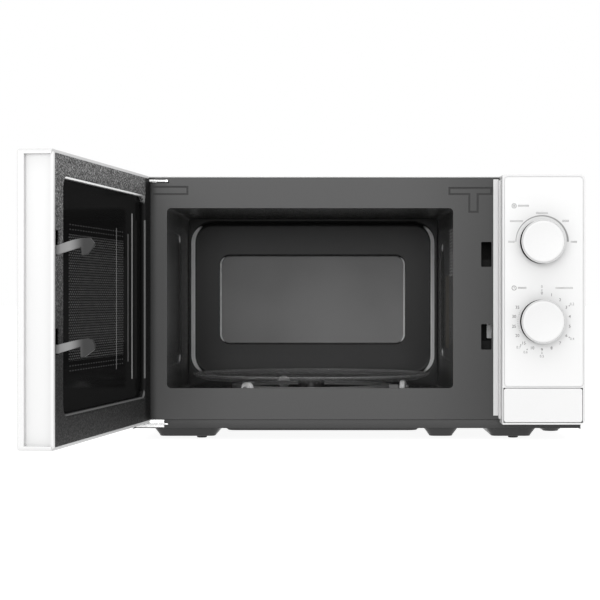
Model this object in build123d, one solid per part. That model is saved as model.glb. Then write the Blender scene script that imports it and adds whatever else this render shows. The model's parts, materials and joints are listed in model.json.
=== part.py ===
from build123d import *

# Compact dial microwave oven with its door standing open. Millimetres, +Z up.
# The origin is on the worktop, midway between the cabinet's sides and between panel face and rear.

# Cabinet
half_width = 220.0
cabinet_top = 259.0
cabinet_bottom = 11.0
sheet = 1.0
frame_front = -147.5
frame_back = -146.3
rear_inner = 177.5
rear_outer = 178.5
foot_radius = 5.0
pad_bottom = 3.5
base_under = 12.0
base_top = 13.0

screw_places = ((-210, 240), (-210, 30), (210, 240), (210, 60), (0, 246))

# Cavity
mouth = (-186.4, 94.3, 51.2, 227.9)
cavity = (-187.5, 95.4, 40.0, 229.6)
cavity_end = 150.2
dish_depth = 8.8
pocket_depth = 4.0
emboss = 2.0

# Control panel
panel_left = 139.9
panel_bottom = 17.6
panel_top = 258.8
panel_front = -178.5
panel_wall = 2.5
button_split = 53.0
knob_x = 178.0
power_z = 194.0
timer_z = 117.0
knob_radius = 21.2
knob_front = -194.5

# Door, drawn shut and then swung open to its rest pose
pivot_x = -212.0
pivot_y = -157.5
door_rest_angle = -97.0
door_right = 139.0
door_recess = 134.0
door_inner = -148.5
latch_x = 125.0
latch_slots = ((173.8, 194.1), (94.1, 115.2))
frame_slots = ((170.3, 194.7), (89.1, 114.1))
pin_radius = 2.5
bush_bore = 2.55
hinge_sweep = 9.5

# Turntable
table_x = -46.5
table_y = 2.5
tray_radius = 125.0
tray_under = 54.05
tray_rim = 61.0
roller_circle = 98.0
roller_radius = 6.7
roller_z = 47.05
roller_angles = (-131.0, -11.0, 109.0)

# Parts behind the right cavity wall
wave_y = -15.0
wave_z = 125.0
fan_x = 156.0
fan_z = 172.0
fan_radius = 40.0


def block(x0, x1, y0, y1, z0, z1):
    return Pos((x0 + x1) / 2, (y0 + y1) / 2, (z0 + z1) / 2) * Box(x1 - x0, y1 - y0, z1 - z0)


def outline(width, height, radius):
    if radius:
        return RectangleRounded(width, height, radius)
    return Rectangle(width, height)


def front_plate(x0, x1, z0, z1, y0, y1, radius=0.0):
    # A plate facing the front, with its corners rounded in the XZ plane
    slab = extrude(outline(x1 - x0, z1 - z0, radius), y1 - y0)
    return Pos((x0 + x1) / 2, y1, (z0 + z1) / 2) * Rot(90, 0, 0) * slab


def flat_plate(x0, x1, y0, y1, z0, z1, radius=0.0):
    slab = extrude(outline(x1 - x0, y1 - y0, radius), z1 - z0)
    return Pos((x0 + x1) / 2, (y0 + y1) / 2, z0) * slab


def side_plate(x0, x1, y0, y1, z0, z1, radius=0.0):
    # A plate facing sideways, with its corners rounded in the YZ plane
    slab = extrude(outline(z1 - z0, y1 - y0, radius), x1 - x0)
    return Pos(x0, (y0 + y1) / 2, (z0 + z1) / 2) * Rot(0, 90, 0) * slab


def rod_x(radius, x0, x1, y, z):
    return Pos((x0 + x1) / 2, y, z) * Rot(0, 90, 0) * Cylinder(radius, x1 - x0)


def rod_y(radius, x, y0, y1, z):
    return Pos(x, (y0 + y1) / 2, z) * Rot(90, 0, 0) * Cylinder(radius, y1 - y0)


def rod_z(radius, x, y, z0, z1):
    return Pos(x, y, (z0 + z1) / 2) * Cylinder(radius, z1 - z0)


def side_profile(points, x0, x1):
    # A plate of the given (y, z) outline, from x0 to x1
    wire = Polyline([(0, y, z) for y, z in points], close=True)
    return Pos(x0, 0, 0) * extrude(make_face(wire), x1 - x0, dir=(1, 0, 0))


def together(*solids):
    return Compound(children=[solid for shape in solids for solid in shape.solids()])


# Cabinet shell

def make_outer_cabinet():
    body = front_plate(-half_width, half_width, -20, cabinet_top, frame_front, rear_inner, 4)
    inside = front_plate(
        sheet - half_width, half_width - sheet, -30, cabinet_top - sheet, frame_front - 1, rear_inner + 1, 3
    )
    body = body - inside - block(-230, 230, -160, 190, -40, cabinet_bottom)
    slots = []
    for column in range(3):
        for row in range(9):
            y = 62 + 34 * column
            z = 150 + 8 * row
            slots.append(side_plate(-half_width - 1, 2 - half_width, y, y + 26, z, z + 3, 1.4))
    return body - slots


def make_rear_panel():
    panel = front_plate(-218.8, 218.8, 12.0, 257.8, rear_inner, rear_outer, 2)
    holes = [rod_y(6.0, 196, 170, 190, 34)]
    holes += [rod_y(2.0, x, 170, 190, z) for x, z in screw_places]
    for column in range(3):
        for row in range(10):
            x = fan_x - 46 + 32 * column
            z = fan_z - 38 + 8 * row
            holes.append(front_plate(x, x + 26, z, z + 3, 170, 190, 1.4))
    for column in range(5):
        for row in range(3):
            x = -160 + 34 * column
            z = 205 + 8 * row
            holes.append(front_plate(x, x + 28, z, z + 3, 170, 190, 1.4))
    return panel - holes


def make_base_plate():
    pads = (
        (-199, -135, pad_bottom),
        (-131, 61, 8.0),
        (67, 98.6, pad_bottom),
        (128, 176, pad_bottom),
        (180, 205, 8.5),
    )
    plate = flat_plate(-218.6, 218.6, -145.2, rear_inner, base_under, base_top)
    plate += block(-218.6, 218.6, frame_back, -145.2, base_under, 20.2)
    for x0, x1, low in pads:
        plate += flat_plate(x0, x1, -141, 168, low, base_top, 8)
        plate -= flat_plate(x0 + 1, x1 - 1, -140, 167, low + 1, base_top + 1, 7)
    return plate


def foot_places():
    return [(x, y) for x in (-155.0, 157.0) for y in (-103.5, 132.0)]


def make_feet():
    feet = []
    for x, y in foot_places():
        foot = Pos(x, y, 0) * extrude(Circle(foot_radius), pad_bottom)
        feet.append(chamfer(foot.edges().sort_by(Axis.Z)[0], 0.6))
    return together(*feet)


def make_cabinet_screws():
    screws = []
    for x, z in screw_places:
        screws.append(rod_y(3.6, x, rear_outer, rear_outer + 1.6, z) + rod_y(1.95, x, 172, rear_outer, z))
    return together(*screws)


def make_front_frame():
    plate = front_plate(-218.8, 218.8, 20.6, 257.5, frame_front, frame_back, 3)
    lip = front_plate(mouth[0] - 0.9, mouth[1] + 0.9, mouth[2] - 0.9, mouth[3] + 0.9, frame_back, -141.5, 4.9)
    frame = plate + lip
    frame -= front_plate(mouth[0], mouth[1], mouth[2], mouth[3], -150, -140, 4)
    frame -= front_plate(146, 214, 24, 244, -150, -140, 3)
    for low, high in frame_slots:
        frame -= front_plate(121.8, 132.0, low, high, -150, -140, 1)
    # Pressed marks: a T beside the mouth's top right corner, and a round-ended bar at the top left
    engraved = frame_front + 0.7
    frame -= front_plate(90, 132.5, 241, 248.3, -150, engraved, 1)
    frame -= front_plate(109.5, 119, 223.6, 243, -150, engraved, 1)
    frame -= front_plate(-214, -165.6, 241, 249.4, -150, engraved, 4)
    # Slot that the upper hinge arm comes out of
    frame -= block(-217.5, -184.3, -150, -140, 252.9, 255.9)
    return frame


# Cavity

def make_cavity_shell():
    x0, x1, z0, z1 = cavity
    shell = front_plate(x0 - sheet, x1 + sheet, z0 - sheet, z1 + sheet, frame_back, cavity_end, 5)
    # Shallow pressed panels in the two side walls, each as y0, y1, z0, z1
    left = (-110.5, 42.5, 70, 208)
    right = (-57.5, 82.5, 75, 200)
    shell += side_plate(x0 - emboss - sheet, x0, left[0] - 1, left[1] + 1, left[2] - 1, left[3] + 1, 13)
    shell += side_plate(x1, x1 + emboss + sheet, right[0] - 1, right[1] + 1, right[2] - 1, right[3] + 1, 13)
    shell -= front_plate(x0, x1, z0, z1, frame_back - 1, cavity_end + 1, 4)
    shell -= side_plate(x0 - emboss, x0 + 1, left[0], left[1], left[2], left[3], 12)
    shell -= side_plate(x1 - 1, x1 + emboss, right[0], right[1], right[2], right[3], 12)
    # Feed window for the waveguide, shaft hole for the turntable, and the air inlet holes
    shell -= block(x1, x1 + 5, wave_y - 30, wave_y + 30, wave_z - 30, wave_z + 30)
    shell -= rod_z(6, table_x, table_y, z0 - 3, z0 + 1)
    holes = []
    for column in range(12):
        for row in range(15):
            y = -134.5 + 5.5 * column
            z = 163 + 3.2 * row
            holes.append(rod_x(1.0, x1 - 1, x1 + 2, y, z))
    return shell - holes


def make_cavity_back():
    x0, x1, z0, z1 = cavity
    flange = front_plate(x0 - sheet, x1 + sheet, z0 - sheet, z1 + sheet, cavity_end, cavity_end + sheet, 5)
    dish = (-186.5, 93.5, 48.5, 228.6)
    pocket = (-152.0, 58.0, 87.5, 188.5)
    dish_floor = cavity_end + dish_depth
    pocket_floor = dish_floor + pocket_depth
    back = flange + front_plate(dish[0], dish[1], dish[2], dish[3], cavity_end, dish_floor + sheet, 26)
    back += front_plate(
        pocket[0] - 1, pocket[1] + 1, pocket[2] - 1, pocket[3] + 1, dish_floor, pocket_floor + sheet, 12
    )
    back -= front_plate(dish[0] + 1, dish[1] - 1, dish[2] + 1, dish[3] - 1, cavity_end - 1, dish_floor, 25)
    back -= front_plate(pocket[0], pocket[1], pocket[2], pocket[3], dish_floor - 1, pocket_floor, 11)
    return back


def make_waveguide_cover():
    wall = cavity[1] + emboss
    return side_plate(wall - 0.6, wall, wave_y - 38, wave_y + 38, wave_z - 38, wave_z + 38, 4)


# Turntable drive, ring, rollers and tray

def make_turntable_motor():
    case = rod_z(25, table_x, table_y, 19, 37)
    ears = flat_plate(table_x - 34, table_x + 34, table_y - 7, table_y + 7, 37, cavity[2] - sheet, 6)
    shaft = rod_z(3, table_x, table_y, 37, 46)
    return case + ears + shaft


def make_turntable_coupler():
    hub = rod_z(9, table_x, table_y, 41, tray_under)
    for turn in (90, 210, 330):
        lobe = Pos(table_x, table_y, 0) * Rot(0, 0, turn) * block(0, 14, -3.5, 3.5, 44, tray_under)
        hub += lobe
    return hub - rod_z(3.05, table_x, table_y, 40, 46.4)


def make_turntable_tray():
    half = Polyline(
        (0, tray_under), (tray_radius - 12, tray_under), (tray_radius, tray_rim - 2.5), (tray_radius, tray_rim),
        (tray_radius - 2, tray_rim), (tray_radius - 13.5, tray_under + 4.2), (0, tray_under + 4.2), close=True,
    )
    face = make_face(Rot(90, 0, 0) * half)
    return Pos(table_x, table_y, 0) * revolve(face, Axis.Z)


def make_roller_ring():
    centre = Pos(table_x, table_y, roller_z)
    ring = centre * (Cylinder(84, 4) - Cylinder(76, 6))
    for angle in roller_angles:
        arm = centre * Rot(0, 0, angle) * block(82, 93.5, -4, 4, -2, 2)
        axle = centre * Rot(0, 0, angle) * rod_x(1.5, 90, 104, 0, 0)
        cap = centre * Rot(0, 0, angle) * rod_x(2.4, 101.4, 102.6, 0, 0)
        ring += arm + axle + cap
    return ring


def make_roller(angle):
    wheel = rod_x(roller_radius, roller_circle - 2.6, roller_circle + 2.6, 0, 0)
    wheel = fillet(wheel.edges().filter_by(GeomType.CIRCLE), 0.8)
    wheel -= rod_x(1.56, 80, 120, 0, 0)
    return Pos(table_x, table_y, roller_z) * Rot(0, 0, angle) * wheel


# Microwave source and its supply

def make_waveguide():
    x0 = cavity[1] + emboss + sheet
    y0, y1, z0, z1 = wave_y - 35, wave_y + 35, wave_z - 34, wave_z + 34
    duct = block(x0, 138, y0, y1, z0, z1)
    duct -= block(x0 - 1, 136.8, y0 + 1.2, y1 - 1.2, z0 + 1.2, z1 - 1.2)
    return duct - rod_x(10, 130, 140, wave_y, wave_z)


def make_magnetron_body():
    yoke = block(138, 199, wave_y - 32, wave_y + 32, wave_z - 38, wave_z + 38)
    yoke -= block(142, 196, wave_y - 40, wave_y + 40, wave_z - 35, wave_z + 35)
    anode = rod_x(13, 142, 196, wave_y, wave_z)
    antenna = rod_x(8, 118, 139, wave_y, wave_z)
    filter_case = block(199, 214, wave_y - 20, wave_y + 20, wave_z - 20, wave_z + 20)
    return yoke + anode + antenna + filter_case


def make_magnetron_fins():
    fins = []
    for count in range(7):
        x = 148 + 6.8 * count
        fin = block(x, x + 0.8, wave_y - 31, wave_y + 31, wave_z - 34.8, wave_z + 34.8)
        fins.append(fin - rod_x(13.05, x - 1, x + 2, wave_y, wave_z))
    return together(*fins)


def make_transformer_core():
    core = block(120, 200, -48, 26, base_top, 73)
    for x0 in (132, 174):
        core -= block(x0, x0 + 14, -60, 40, 27, 59)
    return core


def make_transformer_coils():
    coils = []
    for z0, z1 in ((28, 42), (45, 58)):
        coil = flat_plate(133, 187, -58, 36, z0, z1, 8) - block(145.8, 174.2, -48.2, 26.2, z0 - 1, z1 + 1)
        coils.append(coil)
    return together(*coils)


def make_capacitor():
    can = flat_plate(112, 166, 70, 104, base_top, 118, 16)
    for x in (127, 151):
        can += block(x - 3, x + 3, 86, 87, 118, 126)
    return can


def make_capacitor_clamp():
    band = flat_plate(110.6, 167.4, 68.6, 105.4, 56, 70, 17.4) - flat_plate(112, 166, 70, 104, 50, 80, 16)
    return band + block(166.5, 176, 86, 88, 56, 70)


def make_diode():
    return rod_x(3, 112, 136, 122, 22) + block(136, 144, 118, 126, base_top, 25)


def make_fan_shroud():
    plate = front_plate(cavity[1] + sheet, 208, fan_z - 50, fan_z + 50, 140, 142)
    ring = rod_y(fan_radius + 5, fan_x, 142, 158, fan_z)
    return plate + ring - rod_y(fan_radius + 2.5, fan_x, 130, 170, fan_z)


def make_fan_motor():
    case = front_plate(fan_x - 18, fan_x + 18, fan_z - 18, fan_z + 18, 161, 176, 3)
    bridge = front_plate(fan_x - 47, fan_x + 47, fan_z - 6, fan_z + 6, 158, 161, 2)
    shaft = rod_y(2.5, fan_x, 148, 158, fan_z)
    return case + bridge + shaft


def make_fan_impeller():
    hub = rod_y(11, fan_x, 144, 157, fan_z)
    for count in range(5):
        blade = Pos(fan_x, 150.5, fan_z) * Rot(0, 72 * count, 0) * Rot(0, 0, 28)
        hub += blade * block(-9, 9, -0.9, 0.9, 9, fan_radius - 1)
    return hub - rod_y(2.55, fan_x, 147, 160, fan_z)


def make_lamp_holder():
    wall = cavity[1] + sheet
    holder = rod_x(13, wall, 122, -88, 186) - rod_x(10.5, wall - 1, 118, -88, 186)
    return holder + side_plate(122, 124, -104, -72, 168, 204, 4)


def make_cavity_lamp():
    glass = rod_x(8, 106, 115, -88, 186)
    return glass + rod_x(6, 115, 118, -88, 186)


def make_air_duct():
    duct = block(99, 136, -74, wave_y - 35, 92, 158)
    return duct - block(98, 134.5, -75, wave_y, 93.5, 156.5)


def make_thermal_cutout():
    return rod_z(8, 118, wave_y, wave_z + 34, wave_z + 40) + block(114, 122, wave_y - 2, wave_y + 2, 165, 172)


def make_filter_board():
    # Held by the cavity's side wall and by the top edge of the fan shroud
    under = fan_z + 50
    top = under + 1.6
    board = block(cavity[1] + sheet, 206, 60, 142, under, top)
    board += block(118, 142, 72, 96, top, top + 14)
    board += rod_z(9, 168, 84, top, top + 14)
    board += block(184, 200, 104, 124, top, top + 11)
    return board


def make_cord_inlet():
    collar = rod_y(9, 196, 174.5, rear_inner, 34)
    nose = rod_y(5.9, 196, rear_inner, rear_outer, 34)
    return collar + nose - rod_y(4.0, 196, 160, 200, 34)


# Control panel and its controls

def make_control_panel():
    shell = front_plate(panel_left, half_width, panel_bottom, panel_top, panel_front, frame_front, 5.3)
    shell += front_plate(panel_left, 170, panel_bottom, panel_top, panel_front, frame_front, 0.8)
    shell -= front_plate(
        panel_left + panel_wall, half_width - panel_wall, panel_bottom + panel_wall, panel_top - panel_wall,
        panel_front + panel_wall, frame_front + 1, 3,
    )
    # Stepped flange beside the door
    shell += block(138.4, 140.2, -158, frame_front, 22, 254.5)
    shell += block(133.7, 138.8, frame_front - 0.6, frame_front, 24.5, 256)
    # Opening for the release button, seat for the fascia, and the two shaft holes
    shell -= block(140.9, 217.6, panel_front - 1, -158, 19.3, button_split)
    shell -= front_plate(141.8, 218, 54, 256.8, panel_front - 1, panel_front + 0.9, 3.6)
    for z in (power_z, timer_z):
        shell -= rod_y(5, knob_x, panel_front - 1, panel_front + 10, z)
    return shell


def make_panel_fascia():
    plate = front_plate(142.15, 217.65, 54.35, 256.45, panel_front, panel_front + 0.9, 3.3)
    for z in (power_z, timer_z):
        plate -= rod_y(5, knob_x, panel_front - 1, panel_front + 10, z)
    return plate


def make_release_button():
    cap = front_plate(141.3, 217.2, 19.8, 52.5, panel_front, -166, 2.4)
    cap -= front_plate(143.5, 215, 22, 50.3, -176.2, -160, 1)
    cap += block(150, 160, -176.2, -138, 36, 46)
    cap += block(123, 160, -142, -139.5, 37, 44)
    return cap + block(123, 131, -142, -138, 39, 42)


def make_knob(z):
    cap = rod_y(20.2, knob_x, knob_front, -180.5, z)
    cap = fillet(cap.edges().filter_by(GeomType.CIRCLE).sort_by(Axis.Y)[0], 1.2)
    return cap - rod_y(3.0, knob_x, -190.5, -179, z)


def make_knob_ring(z):
    return rod_y(knob_radius, knob_x, -193.6, -179.6, z) - rod_y(20.3, knob_x, -200, -170, z)


def make_shaft(z, end):
    return rod_y(3.0, knob_x, -190.5, end, z)


def make_timer_mechanism():
    case = front_plate(150, 206, timer_z - 26, timer_z + 26, -166, -128, 3)
    case += rod_y(6, knob_x, panel_front + panel_wall, -166, timer_z)
    return case - rod_y(3.05, knob_x, -180, -150, timer_z)


def make_timer_bell():
    bell = rod_y(20, knob_x, -127, -117, timer_z)
    return bell - rod_y(18.8, knob_x, -128, -118.2, timer_z) + rod_y(2, knob_x, -128, -118, timer_z)


def make_power_selector():
    case = front_plate(158, 198, power_z - 20, power_z + 20, -166, -136, 3)
    case += rod_y(6, knob_x, panel_front + panel_wall, -166, power_z)
    return case - rod_y(3.05, knob_x, -180, -150, power_z)


# Door interlock behind the frame's right edge

def make_latch_board():
    left = side_plate(116, 118.5, frame_back, -109, 62, 204, 3)
    right = side_plate(134.6, 137, frame_back, -109, 84, 204, 3)
    ledges = block(118, 135, -135, -129, 164, 177.4) + block(118, 135, -136, -130, 88, 97.4)
    lever_pin = rod_x(2.0, 118, 131.5, -137, 75)
    return left + right + ledges + lever_pin + block(118, 135, -112, -109, 84, 204)


def make_interlock_plunger():
    return front_plate(129.8, 134.6, 99.7, 117, -115.5, -112.5, 0.8)


def make_door_switches():
    switches = []
    for z in (86, 128, 176):
        switches.append(block(137, 147, -125, -110, z, z + 26) + rod_y(1.6, 142, -128, -125, z + 8))
    return together(*switches)


def make_release_lever():
    pivot = rod_x(5, 121, 131, -137, 75) - rod_x(2.05, 110, 140, -137, 75)
    shank = block(121, 131, -137.7, -134.2, 37, 71)
    arm = block(123, 131, -133, -118, 71, 76.5)
    finger = block(123, 126.5, -122.5, -118.5, 76, 86.8)
    return pivot + shank + arm + finger


# Hinges

def make_hinge_arm(z0, z1):
    arm = flat_plate(-216.5, -185, frame_front - 4, frame_back, z0, z1)
    nose = rod_z(5.5, pivot_x, pivot_y, z0, z1)
    wire = Polyline((-217, -152, z0), (-217.5, pivot_y, z0), (-207, pivot_y, z0), (-189, -151, z0), close=True)
    return arm + nose + extrude(make_face(wire), z1 - z0, dir=(0, 0, 1))


def make_upper_hinge():
    arm = make_hinge_arm(253.4, 255.4)
    flange = block(-216.5, -196, frame_back, frame_back + 1.5, 232, 255.4)
    return arm + flange + rod_z(pin_radius, pivot_x, pivot_y, 242, 253.4)


def make_lower_hinge():
    arm = make_hinge_arm(15.7, 17.2)
    flange = block(-216.5, -189, frame_front, -146.3, 13, 20.4)
    return arm + flange + rod_z(pin_radius, pivot_x, pivot_y, 17.2, 28.5)


# Door, in its shut position

def hinge_relief():
    # What the door's hinge edge gives up so that it turns clear of the front frame
    corner = block(-230, pivot_x, pivot_y, -140, 0, 270)
    return corner - rod_z(hinge_sweep, pivot_x, pivot_y, -1, 271)


def make_door_frame():
    front = front_plate(-half_width, door_right, panel_bottom, panel_top, panel_front, -172.5, 3)
    front = fillet(front.faces().sort_by(Axis.Y)[0].edges(), 1.6)
    body = front_plate(-half_width, door_right, panel_bottom, panel_top, -172.5, -150, 3)
    body -= block(door_recess, door_right + 1, -173, -149, 21.5, 255)
    shell = front + body
    shell += block(-half_width, -217.4, -151, door_inner, 20, 256.4)
    shell += block(133.2, 137.5, -151, door_inner, 20, 256.4)
    shell -= block(-217.5, 131.6, -176, -140, 20.1, 256.3)
    shell -= front_plate(-178, 97, 52, 224, -180, -170, 8)
    # Hinge bosses, each bored for its bush, and the clearance cut for the upper arm
    for z0, z1 in ((238, 252.4), (20, 31)):
        shell += block(-219, -206, -163.8, -151.2, z0, z1)
    shell -= block(-221, -184, -165, -140, 252.9, 255.9)
    for z0, z1 in ((240, 254), (15, 29.5)):
        shell -= rod_z(5.0, pivot_x, pivot_y, z0, z1)
    return shell - hinge_relief()


def make_hinge_bushes():
    bushes = []
    for z0, z1 in ((241, 252.4), (18, 29)):
        bushes.append(rod_z(4.98, pivot_x, pivot_y, z0, z1) - rod_z(bush_bore, pivot_x, pivot_y, z0 - 1, z1 + 1))
    return together(*bushes)


def make_door_window():
    return front_plate(-184, 103, 46, 230, -176, -173, 6)


def make_door_choke():
    panel = front_plate(-204, 119, 24, 250, -161, -160, 6)
    rim = front_plate(-204, 119, 24, 250, -160, -155.5, 6) - front_plate(-202, 117, 26, 248, -162, -150, 5)
    raised = front_plate(-178, 97, 80, 200, -160, -157.5, 5)
    return panel + rim + raised


def make_door_cover():
    cover = front_plate(-217.1, 133.0, 20.5, 255.9, -149.9, door_inner, 2)
    cover += front_plate(-201, 108, 42, 240, -154, -149.9, 13)
    cover -= front_plate(-198, 105, 45, 237, -156, -147, 10)
    for low, high in latch_slots:
        cover -= front_plate(122.5, 131.4, low, high, -152, -147, 1)
    return cover - block(-221, -184, -165, -147, 252.9, 256.5) - hinge_relief()


def make_door_film():
    return front_plate(-202, 109, 41, 241, -154.6, -154, 8)


def make_latch_hooks():
    # A sliding bar with two barbed arms that reach back through the door's slots
    bar = block(122.9, 127.1, -168, -155.2, 88, 189)
    x0, x1 = latch_x - 1.5, latch_x + 1.5
    upper = side_profile(
        [
            (-157, 174.6), (-148.5, 174.6), (-129, 180.4), (-128.5, 173.8), (-124, 174.6), (-118, 181.5),
            (-118, 183.5), (-121.5, 187.9), (-128, 187.9), (-136, 186.2), (-148.5, 182.2), (-157, 182.2),
        ],
        x0, x1,
    )
    lower = side_profile(
        [
            (-157, 95.1), (-148.5, 95.1), (-129.6, 100.8), (-129.5, 92.5), (-126, 92.5), (-118, 98.5),
            (-117.5, 102), (-119.5, 106), (-124, 107.6), (-131, 106.4), (-148.5, 102.2), (-157, 102.2),
        ],
        x0, x1,
    )
    return bar + upper + lower


def make_latch_spring():
    coil = Helix(pitch=2.6, height=26, radius=3.2)
    wire = sweep(Plane(origin=coil @ 0, z_dir=coil % 0) * Circle(0.5), path=coil)
    return Pos(latch_x, -161.5, 61) * wire


# Every node in its shut or rest place

nodes = {
    "outer_cabinet": make_outer_cabinet(),
    "rear_panel": make_rear_panel(),
    "base_plate": make_base_plate(),
    "feet": make_feet(),
    "cabinet_screws": make_cabinet_screws(),
    "front_frame": make_front_frame(),
    "cavity_shell": make_cavity_shell(),
    "cavity_back": make_cavity_back(),
    "waveguide_cover": make_waveguide_cover(),
    "turntable_motor": make_turntable_motor(),
    "turntable_coupler": make_turntable_coupler(),
    "turntable_tray": make_turntable_tray(),
    "roller_ring": make_roller_ring(),
    "waveguide": make_waveguide(),
    "magnetron_body": make_magnetron_body(),
    "magnetron_fins": make_magnetron_fins(),
    "transformer_core": make_transformer_core(),
    "transformer_coils": make_transformer_coils(),
    "capacitor": make_capacitor(),
    "capacitor_clamp": make_capacitor_clamp(),
    "high_voltage_diode": make_diode(),
    "fan_shroud": make_fan_shroud(),
    "fan_motor": make_fan_motor(),
    "fan_impeller": make_fan_impeller(),
    "lamp_holder": make_lamp_holder(),
    "cavity_lamp": make_cavity_lamp(),
    "air_duct": make_air_duct(),
    "thermal_cutout": make_thermal_cutout(),
    "filter_board": make_filter_board(),
    "cord_inlet": make_cord_inlet(),
    "control_panel": make_control_panel(),
    "panel_fascia": make_panel_fascia(),
    "release_button": make_release_button(),
    "power_knob": make_knob(power_z),
    "power_knob_ring": make_knob_ring(power_z),
    "power_shaft": make_shaft(power_z, -151),
    "timer_knob": make_knob(timer_z),
    "timer_knob_ring": make_knob_ring(timer_z),
    "timer_shaft": make_shaft(timer_z, -151),
    "timer_mechanism": make_timer_mechanism(),
    "timer_bell": make_timer_bell(),
    "power_selector": make_power_selector(),
    "latch_board": make_latch_board(),
    "interlock_plunger": make_interlock_plunger(),
    "door_switches": make_door_switches(),
    "release_lever": make_release_lever(),
    "upper_hinge": make_upper_hinge(),
    "lower_hinge": make_lower_hinge(),
}
for number, angle in enumerate(roller_angles, 1):
    nodes[f"roller_{number}"] = make_roller(angle)

# The door's parts turn together about the hinge pins, out to the rest angle
door_nodes = {
    "door_frame": make_door_frame(),
    "hinge_bushes": make_hinge_bushes(),
    "door_window": make_door_window(),
    "door_choke": make_door_choke(),
    "door_cover": make_door_cover(),
    "door_film": make_door_film(),
    "latch_hooks": make_latch_hooks(),
    "latch_spring": make_latch_spring(),
}
hinge_line = Axis((pivot_x, pivot_y, 0), (0, 0, 1))
for name, shape in door_nodes.items():
    nodes[name] = shape.rotate(hinge_line, door_rest_angle)

for name, shape in nodes.items():
    export_step(shape, f"parts/{name}.step")
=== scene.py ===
import json
import math

import bmesh
import bpy
from mathutils import Matrix, Vector


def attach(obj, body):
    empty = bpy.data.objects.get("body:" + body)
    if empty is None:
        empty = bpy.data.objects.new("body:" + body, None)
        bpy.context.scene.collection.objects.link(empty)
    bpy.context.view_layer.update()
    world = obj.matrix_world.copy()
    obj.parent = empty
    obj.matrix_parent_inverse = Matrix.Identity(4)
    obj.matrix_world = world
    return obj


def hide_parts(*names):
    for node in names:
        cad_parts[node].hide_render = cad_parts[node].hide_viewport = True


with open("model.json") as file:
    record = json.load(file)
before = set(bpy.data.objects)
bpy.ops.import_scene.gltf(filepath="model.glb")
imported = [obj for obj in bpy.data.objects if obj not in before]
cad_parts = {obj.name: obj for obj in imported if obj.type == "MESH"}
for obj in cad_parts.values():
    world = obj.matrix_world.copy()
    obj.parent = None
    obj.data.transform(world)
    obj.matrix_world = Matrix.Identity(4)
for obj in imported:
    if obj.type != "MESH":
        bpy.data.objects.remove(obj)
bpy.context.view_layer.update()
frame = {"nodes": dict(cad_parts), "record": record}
mm = 0.001
nodeBody = {node: body for body, nodes in frame["record"]["behaviour"]["bodies"].items() for node in nodes}
nodeSlot = {part["node"]: part["material_slot"] for part in frame["record"]["subparts"]}


# Camera, floor and light

view = {
    "lens": 116.2,
    "place": (-0.0225, -2.0465, 0.1397),
    "shift": (-0.0567, -0.0033),
}
studio = {
    "sky": 1.0,
    "floorSize": 60.0,
    "floorTone": 0.3,
    "floorGlow": 0.92,
}
fill = {"from": (-0.1, -1.0, 0.12), "strength": 1.15, "spread": 30}
softboxes = {
    "topSoftbox": {"place": (0, -0.9, 1.5), "size": (1.8, 0.8), "power": 5.0},
    "leftStrip": {"place": (-0.75, -2.3, 0.75), "size": (0.16, 1.1), "power": 6.0},
    "rightStrip": {"place": (0.85, -2.3, 0.55), "size": (0.12, 0.9), "power": 1.6},
}


def link(thing):
    bpy.context.scene.collection.objects.link(thing)
    return thing


def placeCamera():
    camera = link(bpy.data.objects.new("camera", bpy.data.cameras.new("camera")))
    camera.location = view["place"]
    camera.rotation_euler = (math.radians(90), 0, 0)
    camera.data.lens = view["lens"]
    camera.data.sensor_width = 36
    camera.data.shift_x, camera.data.shift_y = view["shift"]
    camera.data.dof.use_dof = False
    camera.data.clip_end = 100
    bpy.context.scene.camera = camera


def lightStudio():
    world = bpy.data.worlds.new("studio")
    bpy.context.scene.world = world
    world.use_nodes = True
    background = world.node_tree.nodes["Background"]
    background.inputs["Color"].default_value = (1, 1, 1, 1)
    background.inputs["Strength"].default_value = studio["sky"]
    for name, box in softboxes.items():
        lamp = bpy.data.lights.new(name, "AREA")
        lamp.shape = "RECTANGLE"
        lamp.size, lamp.size_y = box["size"]
        lamp.energy = box["power"]
        light = link(bpy.data.objects.new(name, lamp))
        light.location = box["place"]
        aim = Vector((0, 0, 0.13)) - Vector(box["place"])
        light.rotation_euler = aim.to_track_quat("-Z", "Y").to_euler()
    lamp = bpy.data.lights.new("frontFill", "SUN")
    lamp.energy = fill["strength"]
    lamp.angle = math.radians(fill["spread"])
    front = link(bpy.data.objects.new("frontFill", lamp))
    front.rotation_euler = Vector([-part for part in fill["from"]]).to_track_quat("-Z", "Y").to_euler()
    bpy.context.scene.view_settings.view_transform = "Standard"


# Shader maths: a Wire is one socket, and arithmetic on it adds the nodes

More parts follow.
